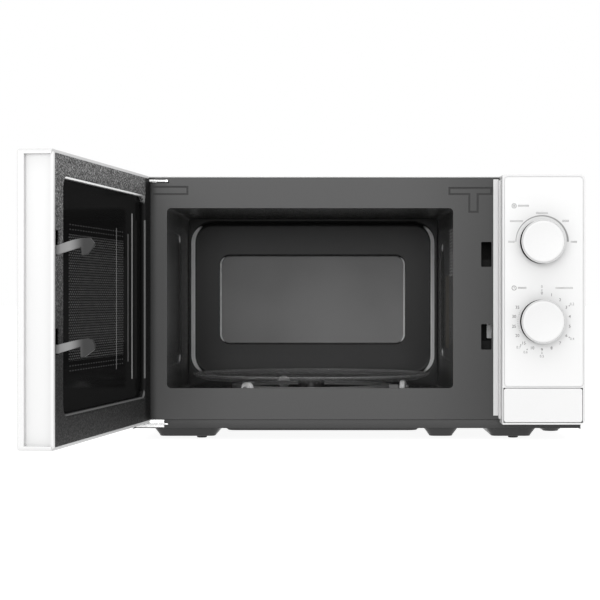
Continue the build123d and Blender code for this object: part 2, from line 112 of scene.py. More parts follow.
class Wire:
    def __init__(self, socket):
        self.socket = socket

    def node(self, kind, settings, sockets, output=0):
        made = self.socket.id_data.nodes.new("ShaderNode" + kind)
        for name, value in settings.items():
            setattr(made, name, value)
        for key, value in sockets.items():
            if isinstance(value, Wire):
                self.socket.id_data.links.new(value.socket, made.inputs[key])
            else:
                made.inputs[key].default_value = value
        return Wire(made.outputs[output])

    def maths(self, operation, *values):
        return self.node("Math", {"operation": operation}, dict(enumerate(values or [self])))

    def __add__(self, other):
        return self.maths("ADD", self, other)

    def __sub__(self, other):
        return self.maths("SUBTRACT", self, other)

    def __rsub__(self, other):
        return self.maths("SUBTRACT", other, self)

    def __mul__(self, other):
        return self.maths("MULTIPLY", self, other)

    def __truediv__(self, other):
        return self.maths("DIVIDE", self, other)

    def __gt__(self, other):
        return self.maths("GREATER_THAN", self, other)

    def __lt__(self, other):
        return self.maths("LESS_THAN", self, other)

    __radd__ = __add__
    __rmul__ = __mul__

    def sine(self):
        return self.maths("SINE")

    def between(self, low, high):
        # 1 where the value lies from low to high, else 0
        return (self > low) * (self < high)

    def offCentre(self, pitch):
        # How far the value is from the middle of its own repeat, in its own units
        return (self.maths("FRACT", self / pitch) - 0.5) * pitch

    def steps(self, low, high, first=0.0, last=1.0):
        # Runs smoothly from first to last as the value goes from low to high
        return self.node(
            "MapRange", {"interpolation_type": "SMOOTHSTEP"}, {0: self, 1: low, 2: high, 3: first, 4: last}
        )

    def noise(self, scale, detail=2.0, rough=0.5):
        sockets = {"Vector": self, "Scale": scale, "Detail": detail, "Roughness": rough}
        return self.node("TexNoise", {}, sockets)

    def cells(self, scale):
        return self.node("TexVoronoi", {}, {"Vector": self, "Scale": scale})

    def axes(self):
        return [self.node("SeparateXYZ", {}, {0: self}, axis) for axis in range(3)]

    def facing(self):
        # The three parts of the way the surface faces
        return self.node("TexCoord", {}, {}, "Normal").axes()

    def tint(self, first, second):
        # The first colour where the value is 0, the second where it is 1
        return self.node("Mix", {"data_type": "RGBA"}, {0: self, 6: first, 7: second}, 2)


def newCoat(name, **uniform):
    # A material, and a wire that carries its object coordinates
    material = bpy.data.materials.new(name)
    material.use_nodes = True
    shader = material.node_tree.nodes["Principled BSDF"]
    for socket, value in uniform.items():
        shader.inputs[socket].default_value = value
    return material, Wire(shader.outputs[0]).node("TexCoord", {}, {}, "Object")


def feed(material, **wires):
    # Socket names are given with _ for their spaces
    for socket, wire in wires.items():
        shader = material.node_tree.nodes["Principled BSDF"]
        material.node_tree.links.new(wire.socket, shader.inputs[socket.replace("_", " ")])


def raised(height, strength, depth=0.05):
    # A bump of the given depth in millimetres
    return height.node("Bump", {}, {"Height": height, "Strength": strength, "Distance": depth * mm})


def grey(value):
    return (value, value, value, 1)


def scaled(colour, factor):
    return tuple(min(1.0, part * factor) for part in colour[:3]) + (1,)


def plainFinish(name, colour, rough, grain=900, bump=0.15, vary=0.05, **uniform):
    # A cloudy tone, a fine grain in the roughness, and a shallow bump
    material, place = newCoat(name, **uniform)
    fine = place.noise(grain, 2)
    feed(
        material,
        Base_Color=place.noise(11, 3).tint(scaled(colour, 1 - vary), scaled(colour, 1 + vary)),
        Roughness=fine.steps(0.2, 0.8, rough * 0.85, rough * 1.15),
        Normal=raised(fine, bump),
    )
    return material


# The door's own directions: how far a point lies along the door, and how deep in it

swing = {"pivot": (-212.0, -157.5), "angle": -97.0}


def doorPlace():
    pivot = Vector((*swing["pivot"], 0))
    turn = Matrix.Rotation(math.radians(swing["angle"]), 4, "Z")
    return Matrix.Translation(pivot) @ turn @ Matrix.Translation(-pivot)


def alongDoor(place):
    # Where on the shut door a point of the open door would be, from left to right, in metres
    x, y, z = place.axes()
    turn = math.radians(swing["angle"])
    pivotX, pivotY = (part * mm for part in swing["pivot"])
    return (x - pivotX) * math.cos(turn) + (y - pivotY) * math.sin(turn) + pivotX, z


screen = {
    "pitch": 2.5, "hole": 0.8, "left": -128.0, "right": 70.0, "bottom": 87.0, "top": 193.0,
    "rows": (79.0, 83.0, 197.0, 201.0),
}
# Painted highlight lines down the film: each line's place along the door, its low and high ends, its
# lightness and its half width
filmLines = (
    {"along": -99.9, "low": 74.5, "high": 204.0, "light": 0.06, "half": 1.0},
    {"along": -146.7, "low": 80.0, "high": 200.0, "light": 0.04, "half": 1.8},
    {"along": -163.4, "low": 63.0, "high": 220.0, "light": 0.11, "half": 2.0},
)


def screenHoles(along, up):
    # 1 inside the staggered round holes of the door's screen, else 0
    pitch = screen["pitch"] * mm
    row = pitch * math.sqrt(3)
    holes = 0
    for shift in (0, 0.5):
        # The extra 1 keeps the value positive
        side = (along + (1 + shift * pitch)).offCentre(pitch)
        rise = (up + shift * row).offCentre(row)
        holes = holes + (side * side + rise * rise < (screen["hole"] * mm) ** 2)
    zone = along.between(screen["left"] * mm, screen["right"] * mm)
    return holes * zone * up.between(screen["bottom"] * mm, screen["top"] * mm)


# Finishes, one for each material slot, and a few for places on a piece

def cavityEnamel(name, tone, pocketReflectionTone):
    # The end wall's pocket is painted lighter than the rest of the enamel as a painted reflection, and the
    # rounded lips carry painted highlights
    enamel, place = newCoat(name, **{"Specular IOR Level": 0.12})
    fine = place.noise(1500, 2)
    cloud = place.noise(9, 2)
    # Painted reflection: the pocket's floor, found by its depth, is painted lighter
    pocket = place.axes()[1].steps(0.1606, 0.1622) * cloud.steps(0.3, 0.7, 0.8, 1.0)
    # Painted highlight: the lips that lean to the side are painted white
    lean = place.facing()[0]
    edge = (lean * lean).steps(0.2, 0.5)
    feed(
        enamel,
        Base_Color=edge.tint(pocket.tint(grey(tone), grey(pocketReflectionTone)), grey(1.0)),
        Roughness=fine.steps(0.2, 0.8, 0.2, 0.27),
        Normal=raised(fine, 0.05),
    )
    return enamel


vents = {
    "wall": 94.0, "front": -137.25, "back": -71.2, "bottom": 161.4, "top": 209.4,
    "pitch": (5.5, 3.2), "radius": 1.0,
}


def ventedEnamel():
    # The walls' enamel with the lamp's rows of holes, which lie on the right wall only; painted highlights at
    # the corners of the pressed panels, painted shade on their upright rims and on the floor and ceiling, and
    # the walls painted lighter towards the back
    enamel, place = newCoat("ventedEnamel", **{"Specular IOR Level": 0.12})
    x, y, z = place.axes()
    side = (y - vents["front"] * mm).offCentre(vents["pitch"][0] * mm)
    rise = (z - vents["bottom"] * mm).offCentre(vents["pitch"][1] * mm)
    hole = (side * side + rise * rise < (vents["radius"] * mm) ** 2) * (x > vents["wall"] * mm)
    hole = hole * y.between(vents["front"] * mm, vents["back"] * mm)
    hole = hole * z.between(vents["bottom"] * mm, vents["top"] * mm)
    fine = place.noise(1500, 2)
    faceY, faceZ = place.facing()[1:]
    # Painted shade: the floor and the ceiling are painted darker than the walls
    level = (faceZ * faceZ).steps(0.4, 0.8)
    # Painted highlight at the corners of the pressed panels' rims
    corner = (faceY * faceZ).maths("ABSOLUTE").steps(0.15, 0.4)
    # Painted shade on the upright rims that face forward and back
    upright = (faceY * faceY).steps(0.1, 0.3)
    # Painted light: the walls are painted lighter behind the pressed panels
    wall = upright.tint(y.steps(0.046, 0.06).tint(grey(0.075), grey(0.12)), grey(0.02))
    feed(
        enamel,
        Base_Color=hole.tint(corner.tint(level.tint(wall, grey(0.055)), grey(0.5)), grey(0.75)),
        Roughness=fine.steps(0.2, 0.8, 0.24, 0.32) + hole * 0.4,
        Normal=raised(fine, 0.05),
    )
    return enamel


# Where the painted highlight along the mouth's edge runs, in millimetres
mouthEdge = {"left": -187.5, "right": 95.4, "bottom": 50.0, "top": 229.0, "depth": -147.2}
frameMarks = ((90, 132.5, 241, 248.3), (109.5, 119, 223.6, 246), (-214, -165.6, 241, 249.4))


def insideMarks(x, z, inset):
    # 1 inside the frame's pressed marks, drawn in by so many millimetres, else 0
    inside = 0
    for x0, x1, z0, z1 in frameMarks:
        across = x.between((x0 + inset) * mm, (x1 - inset) * mm)
        inside = inside + across * z.between((z0 + inset) * mm, (z1 - inset) * mm)
    return inside > 0.5


def frameEnamel():
    # Painted shadow beside the door, painted shade round the pressed marks and towards the right, and a
    # painted highlight along the mouth's edge
    enamel, place = newCoat("mouthEnamel", **{"Specular IOR Level": 0.2})
    x, y, z = place.axes()
    fine = place.noise(1500, 2)
    lean = place.facing()[1]
    # Painted highlight: a lighter band along the mouth's edge
    edge = (lean * lean).steps(0.5, 0.95, 1, 0) * (y < mouthEdge["depth"] * mm)
    edge = edge * x.between(mouthEdge["left"] * mm, mouthEdge["right"] * mm)
    edge = edge * z.between(mouthEdge["bottom"] * mm, mouthEdge["top"] * mm)
    # Painted shade: a dark band round the edges of the pressed marks
    mark = insideMarks(x, z, -0.3) - insideMarks(x, z, 1.7)
    # Painted shadow of the door along the left edge, and painted shade towards the right
    tone = x.steps(-0.202, -0.195).tint(grey(0.009), x.steps(0.04, 0.14).tint(grey(0.05), grey(0.034)))
    feed(
        enamel,
        Base_Color=mark.tint(edge.tint(tone, grey(0.16)), grey(0.012)),
        Roughness=fine.steps(0.2, 0.8, 0.3, 0.38),
        Normal=raised(fine, 0.1),
    )
    return enamel


def hookPlastic():
    # Grey arms, with the heads painted darker as painted shade
    plastic, place = newCoat("hookPlastic", **{"Specular IOR Level": 0.2})
    fine = place.noise(900, 2)
    feed(
        plastic,
        Base_Color=place.axes()[0].steps(-0.236, -0.222).tint(grey(0.2), grey(0.02)),
        Roughness=fine.steps(0.2, 0.8, 0.36, 0.48),
        Normal=raised(fine, 0.2),
    )
    return plastic


def doorGrain():
    # Dark moulded plastic with a sparkling grain, painted lighter towards the top as painted light, with
    # painted highlights on the rounded edge of the window and painted shade at the hinge end
    plastic, place = newCoat("doorGrain", **{"Specular IOR Level": 0.06})
    speck = place.noise(620, 3, 0.75)
    along, up = alongDoor(place)
    # Painted light: the grain's tones are painted lighter towards the top
    height = up.steps(0.06, 0.25)
    faceX, faceY, faceZ = place.facing()
    turn = math.radians(swing["angle"])
    outward = faceY * math.cos(turn) - faceX * math.sin(turn)
    # Painted highlights on the window's rounded lip, brightest along the top, and painted shade on the
    # hinge-side lip above and below its line
    lip = outward.between(0.4, 0.86) * along.between(-0.205, 0.112)
    lip = lip * up.between(0.036, 0.246)
    bright = faceZ.steps(-0.5, -0.25, 1, 0) * along.steps(-0.205, -0.15)
    side = (faceZ * faceZ).steps(0.05, 0.2, 1, 0) * (along < 0)
    side = side * (1 - up.between(0.062, 0.215))
    lipTone = side.tint(bright.tint(grey(0.12), grey(0.95)), grey(0.01))
    # Painted shade on the cover from the window's hinge side to the hinge
    shade = along.steps(-0.1975, -0.196)
    grain = speck.steps(0.46, 0.64).tint(
        height.tint(grey(0.012), grey(0.03)), height.tint(grey(0.035), grey(0.34))
    )
    feed(
        plastic,
        Base_Color=lip.tint(shade.tint(grey(0.006), grain), lipTone),
        Roughness=speck.steps(0.3, 0.7, 0.62, 0.4),
        Normal=raised(speck, 0.5, 0.12),
    )
    return plastic


def doorFilm():
    # Black film that shows the perforated screen behind it, with painted glints on the holes and painted
    # highlights along the folds of its sheet
    film, place = newCoat("doorFilm", **{"Specular IOR Level": 0.01})
    along, up = alongDoor(place)
    holes = screenHoles(along, up)
    # Painted glints: the holes' lightness rises and falls in a fine criss-cross
    glint = (along * (math.tau / 0.007)).sine() * (up * (math.tau / 0.0036)).sine()
    rows = 0
    for height in screen["rows"]:
        rows = rows + up.between((height - 0.5) * mm, (height + 0.5) * mm)
    dashes = (along * (math.tau / 0.009)).sine() > 0
    rows = rows * along.between(screen["left"] * mm, screen["right"] * mm) * dashes
    marks = holes * glint.steps(-0.3, 0.7, 0.1, 1.6) * 0.03 + rows * 0.014
    # Painted highlights: thin light lines along the folds of the sheet
    for line in filmLines:
        across = along.between((line["along"] - line["half"]) * mm, (line["along"] + line["half"]) * mm)
        marks = marks + across * up.between(line["low"] * mm, line["high"] * mm) * line["light"]
    feed(
        film,
        Base_Color=(marks * 5).tint(grey(0.005), grey(0.5)),
        Roughness=place.noise(300, 2).steps(0.2, 0.8, 0.08, 0.11) + holes * 0.25,
    )
    return film


def perforatedSheet():
    # Galvanised sheet with the screen's holes
    sheet, place = newCoat("perforatedSheet")
    along, up = alongDoor(place)
    holes = screenHoles(along, up)
    spangle = place.cells(130)
    feed(
        sheet,
        Base_Color=holes.tint(grey(0.1), grey(0.012)),
        Roughness=spangle.steps(0.0, 0.6, 0.38, 0.5) + holes * 0.3,
        Normal=raised(1 - holes, 0.4, 0.2),
    )
    return sheet


def galvanised():
    # Zinc spangle in patches of a few millimetres
    zinc, place = newCoat("galvanised", Metallic=1.0)
    spangle = place.cells(240)
    patch = place.noise(60, 2)
    feed(
        zinc,
        Base_Color=(spangle * 0.6 + patch * 0.5).steps(0.2, 0.9).tint(grey(0.46), grey(0.54)),
        Roughness=patch.steps(0.3, 0.7, 0.3, 0.46),
        Normal=raised(place.noise(500, 2), 0.06),
    )
    return zinc


def paleGlass(name, alpha, tone):
    # Clear glass, with its few streaks in the roughness
    glass, place = newCoat(name, Alpha=alpha, **{"Transmission Weight": 0.6, "IOR": 1.5})
    streak = place.noise(40, 2)
    feed(
        glass,
        Base_Color=streak.tint(scaled(tone, 0.97), scaled(tone, 1.03)),
        Roughness=streak.steps(0.2, 0.8, 0.02, 0.07),
    )
    return glass


def knobTrim():
    # Painted reflections on the plated ring: dark down the ring's side, and a pale front edge like the knob's
    trim, place = newCoat("knobTrim", **{"Specular IOR Level": 0.0})
    side = place.axes()[1].steps(-0.1934, -0.193)
    fine = place.noise(1500, 2)
    feed(
        trim,
        Base_Color=side.tint(grey(0.55), grey(0.006)),
        Roughness=fine.steps(0.2, 0.8, 0.3, 0.4),
        Normal=raised(fine, 0.03),
    )
    return trim


finishes = {
    "cabinet_paint": plainFinish("cabinetPaint", grey(0.55), 0.42, 1400, 0.2, 0.01),
    "white_plastic": plainFinish("whitePlastic", grey(0.57), 0.34, 1800, 0.12, 0.012),
    "knob_plastic": plainFinish("knobPlastic", grey(0.55), 0.3, 2200, 0.1, 0.01),
    "chrome_trim": knobTrim(),
    "cavity_enamel": plainFinish(
        "frameEnamel", grey(0.03), 0.34, 1500, 0.1, 0.05, **{"Specular IOR Level": 0.2}
    ),
    "zinc_sheet": galvanised(),
    "hinge_steel": plainFinish("hingeSteel", grey(0.62), 0.28, 900, 0.06, 0.06, Metallic=1.0),
    "black_rubber": plainFinish("blackRubber", grey(0.012), 0.75, 700, 0.4, 0.2),
    "mica": plainFinish("micaSheet", (0.16, 0.14, 0.11, 1), 0.4, 120, 0.12, 0.2),
    "motor_case": plainFinish("pressedAluminium", grey(0.55), 0.36, 1200, 0.1, 0.08, Metallic=1.0),
    "steel_parts": plainFinish("brightSteel", grey(0.56), 0.22, 1200, 0.06, 0.05, Metallic=1.0),
    "core_steel": plainFinish("coreSteel", (0.09, 0.08, 0.075, 1), 0.45, 500, 0.3, 0.25, Metallic=0.6),
    "coil_copper": plainFinish("coilCopper", (0.42, 0.14, 0.05, 1), 0.35, 600, 0.4, 0.2),
    "inner_plastic": plainFinish("innerPlastic", grey(0.66), 0.4, 900, 0.15, 0.03),
    "ring_plastic": plainFinish("ringPlastic", grey(0.2), 0.42, 900, 0.2, 0.05),
    "black_plastic": plainFinish(
        "blackPlastic", grey(0.006), 0.55, 900, 0.3, 0.1, **{"Specular IOR Level": 0.1}
    ),
    "door_grain": doorGrain(),
    "tray_glass": paleGlass("trayGlass", 0.32, grey(0.6)),
    "lamp_glass": paleGlass("lampGlass", 0.6, (0.95, 0.93, 0.86, 1)),
    "door_glass": plainFinish("doorGlass", grey(0.006), 0.06, 300, 0.01, 0.1, Alpha=0.93),
}
special = {
    # The dish's enamel tone, then the pocket's painted reflection tone
    "cavityBack": cavityEnamel("cavityEnamel", 0.013, 0.19),
    "front_frame": frameEnamel(),
    "panel_fascia": plainFinish("fasciaPlastic", grey(0.59), 0.34, 1800, 0.12, 0.012),
    # Painted shade: the panel's shell is painted a darker white than the fascia, for its shaded side strips
    "control_panel": plainFinish("panelPlastic", grey(0.53), 0.34, 1800, 0.12, 0.012),
    "latch_hooks": hookPlastic(),
    # Painted light: the plunger is painted paler than the white plastic, so that it looks lit down its deep
    # slot
    "plunger": plainFinish("plungerPlastic", grey(0.9), 0.4, 900, 0.15, 0.03),
    "cavityWall": ventedEnamel(),
    "film": doorFilm(),
    "sheet": perforatedSheet(),
    "coupler": plainFinish("couplerPlastic", grey(0.03), 0.4, 900, 0.15, 0.05),
    "roller": plainFinish("rollerPlastic", grey(0.85), 0.4, 900, 0.15, 0.03),
    "print": plainFinish("printInk", grey(0.06), 0.5, 900, 0.0, 0.05),
    "palePrint": plainFinish("palePrintInk", grey(0.2), 0.5, 900, 0.0, 0.05),
    "arc": plainFinish("arcInk", grey(0.24), 0.5, 900, 0.0, 0.05),
}


def paint(piece, material):
    piece.data.materials.clear()
    piece.data.materials.append(material)


def paintCadNodes():
    for node, thing in frame["nodes"].items():
        paint(thing, finishes[nodeSlot[node]])
    paint(frame["nodes"]["door_film"], special["film"])
    paint(frame["nodes"]["door_choke"], special["sheet"])
    paint(frame["nodes"]["turntable_coupler"], special["coupler"])
    paint(frame["nodes"]["interlock_plunger"], special["plunger"])


# Making pieces, in millimetres

def asPiece(name, mesh, node, finish, onDoor=False, stands=True, crease=34):
    # Gives a finished mesh its place, its body and its finish
    if onDoor:
        mesh.transform(doorPlace())
    mesh.transform(Matrix.Scale(mm, 4))
    piece = link(bpy.data.objects.new(name, bpy.data.meshes.new(name)))
    mesh.to_mesh(piece.data)
    mesh.free()
    piece.data.shade_smooth()
    piece.data.set_sharp_from_angle(angle=math.radians(crease))
    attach(piece, nodeBody[node])
    if stands:
        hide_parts(node)
    paint(piece, finish)
    return piece


def softened(node, width, segments=2, angle=35):
    # A merged copy of a CAD node with its edges rounded, which stands for it
    mesh = bmesh.new()
    mesh.from_mesh(frame["nodes"][node].data)
    mesh.transform(Matrix.Scale(1 / mm, 4))
    bmesh.ops.remove_doubles(mesh, verts=mesh.verts, dist=0.002)
    bmesh.ops.dissolve_limit(mesh, angle_limit=math.radians(0.5), verts=mesh.verts, edges=mesh.edges)
    piece = asPiece(node + ".soft", mesh, node, special.get(node) or finishes[nodeSlot[node]], crease=180)
    rounding = piece.modifiers.new("rounding", "BEVEL")
    rounding.width = width * mm
    rounding.segments = segments
    rounding.limit_method = "ANGLE"
    rounding.angle_limit = math.radians(angle)
    return evened(piece)


def evened(piece):
    # Lets the large faces set the shading, so that flat places look flat
    piece.modifiers.new("evened", "WEIGHTED_NORMAL").keep_sharp = True
    return piece


def thicken(piece, thickness):
    # Gives a sheet its thickness on the side away from its faces
    wall = piece.modifiers.new("wall", "SOLIDIFY")
    wall.thickness = thickness * mm
    wall.offset = -1
    return evened(piece)


def nearestFace(mesh, point):
    return min(mesh.faces, key=lambda face: (face.calc_center_bounds() - Vector(point)).length)


def roundPlate(mesh, x0, x1, z0, z1, y, radius, facing=-1, segments=6):
    # One face that looks along -Y (facing -1) or +Y, with round corners
    place = Matrix.Translation(((x0 + x1) / 2, y, (z0 + z1) / 2))
    place = place @ Matrix.Rotation(math.radians(-90 * facing), 4, "X")
    place = place @ Matrix.Diagonal(((x1 - x0) / 2, (z1 - z0) / 2, 1, 1))
    made = bmesh.ops.create_grid(mesh, x_segments=1, y_segments=1, size=1, matrix=place)
    bmesh.ops.bevel(
        mesh, geom=made["verts"], offset=radius, segments=segments, profile=0.5, affect="VERTICES",
        material=-1,
    )
    return nearestFace(mesh, ((x0 + x1) / 2, y, (z0 + z1) / 2))


def ringTo(mesh, face, u0, u1, v0, v1, radius, axes=(0, 2)):
    # Draws a smaller round-cornered rectangle inside a round-cornered face
    bmesh.ops.inset_region(mesh, faces=[face], thickness=0.2, use_boundary=True, use_even_offset=True)
    across, up = axes
    centre = face.calc_center_bounds()
    for u, sideU in ((u0, -1), (u1, 1)):
        for v, sideV in ((v0, -1), (v1, 1)):
            corner = [
                vert for vert in face.verts
                if (vert.co[across] - centre[across]) * sideU > 0 and (vert.co[up] - centre[up]) * sideV > 0
            ]
            corner.sort(key=lambda vert: abs(vert.co[across] - centre[across]))
            for count, vert in enumerate(corner):
                turn = math.pi / 2 * count / (len(corner) - 1)
                vert.co[across] = u - sideU * radius * (1 - math.sin(turn))
                vert.co[up] = v - sideV * radius * (1 - math.cos(turn))


def sink(mesh, face, drop, lip=0.0, foot=0.0, draft=0.0, steps=4):
    # Presses a face in, or out where drop is negative: a rounded lip, a wall and a rounded foot
    way = math.copysign(1, drop)
    quarter = [math.pi / 2 * count / steps for count in range(steps + 1)]
    moves = []
    if lip:
        for start, end in zip(quarter, quarter[1:]):
            moves.append((lip * (math.sin(end) - math.sin(start)), lip * (math.cos(start) - math.cos(end))))
    moves.append((draft, abs(drop) - lip - foot))
    if foot:
        for start, end in zip(quarter, quarter[1:]):
            moves.append((foot * (math.cos(start) - math.cos(end)), foot * (math.sin(end) - math.sin(start))))
    for inset, depth in moves:
        bmesh.ops.inset_region(
            mesh, faces=[face], thickness=inset, depth=-way * depth, use_boundary=True, use_even_offset=True
        )


def spun(points, steps=64):
    # Turns an outline of (radius, height) points about Z into a closed shell
    mesh = bmesh.new()
    rim = [mesh.verts.new((radius, 0, height)) for radius, height in points]
    edges = [mesh.edges.new(pair) for pair in zip(rim, rim[1:])]
    bmesh.ops.spin(
        mesh, geom=rim + edges, cent=(0, 0, 0), axis=(0, 0, 1), angle=math.tau, steps=steps, use_merge=True
    )
    bmesh.ops.remove_doubles(mesh, verts=mesh.verts, dist=0.001)
    bmesh.ops.recalc_face_normals(mesh, faces=mesh.faces)
    return mesh


def makeFloor():
    mesh = bmesh.new()
    bmesh.ops.create_grid(mesh, x_segments=1, y_segments=1, size=studio["floorSize"] / 2)
    floor = link(bpy.data.objects.new("floor", bpy.data.meshes.new("floor")))
    mesh.to_mesh(floor.data)
    mesh.free()
    paper = plainFinish("floorPaper", grey(studio["floorTone"]), 0.8, 200, 0.02, 0.0)
    shader = paper.node_tree.nodes["Principled BSDF"]
    shader.inputs["Emission Color"].default_value = (1, 1, 1, 1)
    shader.inputs["Emission Strength"].default_value = studio["floorGlow"]
    shader.inputs["Specular IOR Level"].default_value = 0
    paint(floor, paper)


placeCamera()
lightStudio()
makeFloor()
paintCadNodes()
print("camera, lights, floor and finishes ready")


# Pieces that keep their CAD shape, with the edges rounded by so many millimetres

rounded = {
    "control_panel": 0.5,
    "panel_fascia": 0.15,
    "release_button": 0.5,
    "front_frame": 0.4,
    "door_frame": 0.5,
    "latch_hooks": 0.4,
    "upper_hinge": 0.25,
    "lower_hinge": 0.25,
    "outer_cabinet": 0.3,
}
for node, width in rounded.items():
    softened(node, width)
print("edges rounded")


# Cavity: the end wall with its dish and pocket, and the four walls with their pressed panels

cavity = {
    "left": -187.5, "right": 95.4, "bottom": 40.0, "top": 229.6, "front": -146.3, "end": 150.2,
    "corner": 4.0, "sheet": 1.0, "press": 2.0,
    "dish": (-186.0, 93.0, 49.0, 228.1, 25.5), "dishDepth": 8.8,
    "pocket": (-153.0, 59.0, 86.5, 189.5, 12.0), "pocketDepth": 4.0,
    "leftPanel": (-110.5, 42.5, 70, 208), "rightPanel": (-57.5, 82.5, 75, 200), "panelCorner": 12.0,
}


def makeCavityBack():
    size = cavity
    mesh = bmesh.new()
    face = roundPlate(
        mesh, size["left"] - size["sheet"], size["right"] + size["sheet"], size["bottom"] - size["sheet"],
        size["top"] + size["sheet"], size["end"], 5, segments=10,
    )
    ringTo(mesh, face, *size["dish"])
    sink(mesh, face, size["dishDepth"], lip=3.0, foot=4.0, draft=0.8)
    ringTo(mesh, face, *size["pocket"])
    sink(mesh, face, size["pocketDepth"], lip=1.4, foot=1.6, draft=0.3)
    back = asPiece("cavityBack", mesh, "cavity_back", special["cavityBack"])
    thicken(back, 0.9)


def makeCavityWalls():
    size = cavity
    mesh = bmesh.new()
    end = roundPlate(
        mesh, size["left"], size["right"], size["bottom"], size["top"], size["front"], size["corner"],
        facing=1,
    )
    sink(mesh, end, size["front"] - size["end"])
    bmesh.ops.delete(mesh, geom=[end], context="FACES")
    bmesh.ops.reverse_faces(mesh, faces=mesh.faces)
    middle = (size["front"] + size["end"]) / 2
    height = (size["bottom"] + size["top"]) / 2
    for x, panel in ((size["left"], size["leftPanel"]), (size["right"], size["rightPanel"])):
        wall = nearestFace(mesh, (x, middle, height))
        bmesh.ops.inset_individual(mesh, faces=[wall], thickness=12)
        bmesh.ops.bevel(
            mesh, geom=wall.verts[:], offset=6, segments=6, profile=0.5, affect="VERTICES", material=-1
        )
        wall = nearestFace(mesh, (x, middle, height))
        ringTo(mesh, wall, *panel, size["panelCorner"], axes=(1, 2))
        sink(mesh, wall, size["press"], lip=0.9, foot=0.9)
    walls = asPiece("cavityWalls", mesh, "cavity_shell", special["cavityWall"])
    thicken(walls, 0.9)


makeCavityBack()
makeCavityWalls()
print("cavity ready")


# Base plate: pressed pads with sloping sides, and the upturned front flange

base = {
    "left": -218.6, "right": 218.6, "front": -145.6, "back": 177.5, "under": 12.0, "thick": 1.0,
    "pads": ((-201, -133, 8.4), (-131, 63, 2.6), (65, 101, 8.4), (126, 178, 8.4), (180, 203, 3.4)),
    "padFront": -142.0, "padBack": 169.0, "flangeTop": 20.2,
}


def makeBasePlate():
    size = base
    mesh = bmesh.new()
    edges = [size["left"]] + [edge for pad in size["pads"] for edge in pad[:2]] + [size["right"]]
    for x0, x1 in zip(edges, edges[1:]):
        place = Matrix.Translation(((x0 + x1) / 2, (size["front"] + size["back"]) / 2, size["under"]))
        place = place @ Matrix.Rotation(math.pi, 4, "X")
        place = place @ Matrix.Diagonal(((x1 - x0) / 2, (size["back"] - size["front"]) / 2, 1, 1))
        bmesh.ops.create_grid(mesh, x_segments=1, y_segments=1, size=1, matrix=place)
    bmesh.ops.remove_doubles(mesh, verts=mesh.verts, dist=0.01)
    for x0, x1, drop in size["pads"]:
        middle = ((x0 + x1) / 2, (size["front"] + size["back"]) / 2, size["under"])
        pad = nearestFace(mesh, middle)
        bmesh.ops.inset_individual(mesh, faces=[pad], thickness=1.5)
        bmesh.ops.bevel(
            mesh, geom=pad.verts[:], offset=1.2, segments=5, profile=0.5, affect="VERTICES", material=-1
        )
        pad = nearestFace(mesh, middle)
        ringTo(mesh, pad, x0 + 0.6, x1 - 0.6, size["padFront"], size["padBack"], 12, axes=(0, 1))
        sink(mesh, pad, -drop, lip=1.0, foot=1.4, draft=drop * 0.55)
    front = [
        edge for edge in mesh.edges
        if edge.is_boundary and all(abs(vert.co.y - size["front"]) < 0.01 for vert in edge.verts)
    ]
    for slope, rise in ((-0.25, 0.15), (-0.2, 0.3), (0, size["flangeTop"] - size["under"] - 0.45)):
        grown = bmesh.ops.extrude_edge_only(mesh, edges=front)["geom"]
        verts = [item for item in grown if isinstance(item, bmesh.types.BMVert)]
        bmesh.ops.translate(mesh, verts=verts, vec=(0, slope, rise))
        front = [
            item for item in grown
            if isinstance(item, bmesh.types.BMEdge) and all(vert in verts for vert in item.verts)
        ]
    thicken(asPiece("basePlate", mesh, "base_plate", finishes["cavity_enamel"]), size["thick"] * 0.8)


makeBasePlate()
print("base plate ready")


# Door: the inner cover, with a rounded window edge and two slots for the hooks

cover = {
    "left": -217.0, "right": 133.0, "bottom": 20.5, "top": 255.9, "face": -148.5, "thick": 1.3,
    "window": (-201.5, 108.5, 41.5, 240.5, 13.0), "drop": 5.4, "lip": 3.2,
    "slots": ((122.5, 131.4, 173.8, 194.1), (122.5, 131.4, 94.1, 115.2)),
}


def makeDoorCover():
    size = cover
    mesh = bmesh.new()
    face = roundPlate(
        mesh, size["left"], size["right"], size["bottom"], size["top"], size["face"], 2, facing=1, segments=8
    )
    ringTo(mesh, face, *size["window"])
    sink(mesh, face, size["drop"], lip=size["lip"])
    bmesh.ops.delete(mesh, geom=[face], context="FACES")
    cuts = [("x", edge) for slot in size["slots"][:1] for edge in slot[:2]]
    cuts += [("z", edge) for slot in size["slots"] for edge in slot[2:]]
    for axis, edge in cuts:
        side = [item for item in mesh.faces if item.calc_center_median().x > size["window"][1] - 1]
        parts = {part for item in side for part in (*item.verts, *item.edges)} | set(side)
        point, normal = ((edge, 0, 0), (1, 0, 0)) if axis == "x" else ((0, 0, edge), (0, 0, 1))
        bmesh.ops.bisect_plane(mesh, geom=list(parts), plane_co=point, plane_no=normal)
    for x0, x1, z0, z1 in size["slots"]:
        hole = [
            item for item in mesh.faces
            if x0 < item.calc_center_median().x < x1 and z0 < item.calc_center_median().z < z1
        ]
        bmesh.ops.delete(mesh, geom=hole, context="FACES")
    piece = asPiece("doorCover", mesh, "door_cover", finishes["door_grain"], onDoor=True)
    thicken(piece, size["thick"])


makeDoorCover()
print("door cover ready")


# Turntable: pressed glass tray, and rollers with dished sides

tray = {"x": -46.5, "y": 2.5, "under": 54.05, "rim": 61.0, "radius": 125.0, "thick": 4.0}
roller = {"circle": 98.0, "radius": 6.7, "width": 5.2, "height": 47.05, "angles": (-131.0, -11.0, 109.0)}


